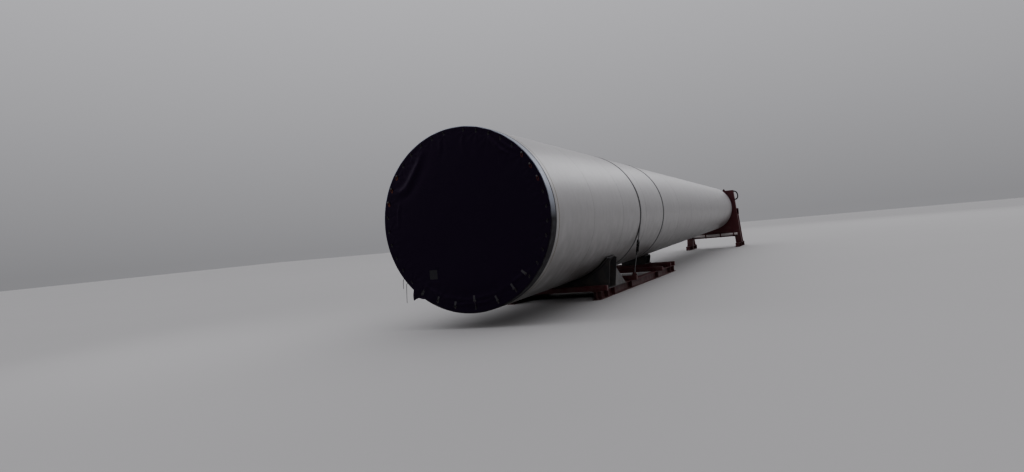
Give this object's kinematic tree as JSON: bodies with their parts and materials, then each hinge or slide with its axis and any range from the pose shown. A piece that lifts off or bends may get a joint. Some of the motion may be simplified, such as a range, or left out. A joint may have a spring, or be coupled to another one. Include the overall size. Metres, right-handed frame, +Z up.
{
  "type": "wind turbine tower section on transport stands",
  "caption": "Tapered steel wind turbine tower section lying on a padded rear cradle frame and a red front adapter frame, with weather covers and two lashing belts.",
  "frame": {"origin": "on the floor, under the middle of the object's box", "axes": "+Y along the tower from its wide covered end to its narrow end, +Z up, +X to the right of a person who looks along +Y"},
  "size_m": [4.2, 35.2326, 4.55],
  "materials": {
    "shell_paint": "satin light warm grey coating",
    "flange_zinc": "zinc sprayed, glossy",
    "tarpaulin": "coated tarpaulin, near black navy",
    "pocket_film": "smooth film pocket",
    "tie_cord": "braided cord",
    "webbing": "woven polyester webbing",
    "ratchet_steel": "black, worn at the edges",
    "red_frame_paint": "dark red, dusty",
    "cradle_paint": "dark grey, dusty",
    "pad_rubber": "matt",
    "galvanised_tube": "dull galvanised"
  },
  "bodies": {
    "root": {"near_flange": "flange_zinc", "far_flange": "flange_zinc", "shell_course_01": "shell_paint", "shell_course_02": "shell_paint", "shell_course_03": "shell_paint", "shell_course_04": "shell_paint", "shell_course_05": "shell_paint", "shell_course_06": "shell_paint", "shell_course_07": "shell_paint", "shell_course_08": "shell_paint", "shell_course_09": "shell_paint", "shell_course_10": "shell_paint", "shell_course_11": "shell_paint", "near_cover": "tarpaulin", "far_cover": "tarpaulin", "near_cover_pocket": "pocket_film", "near_cover_loose_corner": "tarpaulin", "tie_cord_long": "tie_cord", "tie_cord_short": "tie_cord", "lashing_belt_1": "webbing", "lashing_belt_2": "webbing", "ratchet_1": "ratchet_steel", "ratchet_2": "ratchet_steel", "ratchet_strap_1": "webbing", "ratchet_strap_2": "webbing", "base_beam_left": "red_frame_paint", "base_beam_right": "red_frame_paint", "base_cross_beam_rear": "red_frame_paint", "base_cross_beam_middle": "red_frame_paint", "base_cross_beam_front": "red_frame_paint", "cradle_rear": "cradle_paint", "cradle_rear_pad": "pad_rubber", "cradle_front": "cradle_paint", "cradle_front_pad": "pad_rubber", "front_face_plate": "red_frame_paint", "front_column_left": "red_frame_paint", "front_column_right": "red_frame_paint", "front_foot_left": "red_frame_paint", "front_foot_right": "red_frame_paint", "front_brace_left": "red_frame_paint", "front_brace_right": "red_frame_paint", "front_top_beam": "red_frame_paint", "front_low_beam": "red_frame_paint", "front_hinge_tube": "galvanised_tube", "front_handrail": "galvanised_tube"}
  },
  "joints": []
}
